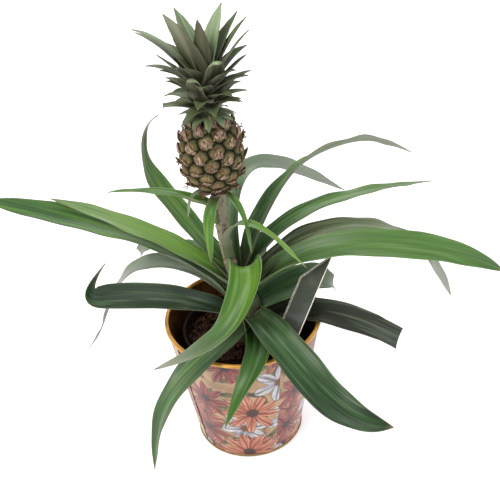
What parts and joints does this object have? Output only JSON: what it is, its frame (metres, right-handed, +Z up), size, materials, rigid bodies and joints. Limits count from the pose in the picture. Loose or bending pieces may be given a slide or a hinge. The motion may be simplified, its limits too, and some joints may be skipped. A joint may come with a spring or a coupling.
{
  "type": "potted pineapple plant",
  "caption": "Ornamental pineapple plant in a nursery pot inside a printed tin cover pot, with arching leaves, a small fruit on a stalk and a leafy crown.",
  "frame": {"origin": "middle of the cover pot's flat underside", "axes": "+Z up along the pot's axis; +X to the right and +Y away from the viewer as the plant is seen in the picture"},
  "size_m": [0.4205, 0.2995, 0.4113],
  "materials": {
    "printed_metal": "satin",
    "liner_plastic": "matte",
    "peat": "matte",
    "stalk": "matte",
    "fruit_skin": "matte",
    "crown_leaf": "matte",
    "label_plastic": "gloss",
    "leaf": "satin",
    "young_leaf": "satin",
    "grey_leaf": "satin"
  },
  "bodies": {
    "root": {"cover_pot": "printed_metal", "nursery_pot": "liner_plastic", "soil": "peat", "stem": "stalk", "fruit": "fruit_skin", "crown": "crown_leaf", "label": "label_plastic", "leaf_far_left": "leaf", "leaf_left": "leaf", "leaf_upper_left": "leaf", "leaf_flat_left": "leaf", "leaf_drooping_left": "grey_leaf", "leaf_small_back_left": "grey_leaf", "leaf_front_arch": "young_leaf", "leaf_front_left": "leaf", "leaf_front": "young_leaf", "leaf_front_right": "leaf", "leaf_low_right": "leaf", "leaf_torn_right": "leaf", "leaf_right": "young_leaf", "leaf_arching_right": "leaf", "leaf_upper_right": "leaf", "leaf_tall_right": "leaf", "leaf_back": "grey_leaf", "leaf_low_back": "leaf", "leaf_low_back_left": "leaf", "leaf_low_back_right": "leaf", "leaf_young_right": "young_leaf", "bract_left": "young_leaf", "bract_front": "young_leaf", "bract_right": "young_leaf", "bract_small": "young_leaf"}
  },
  "joints": []
}
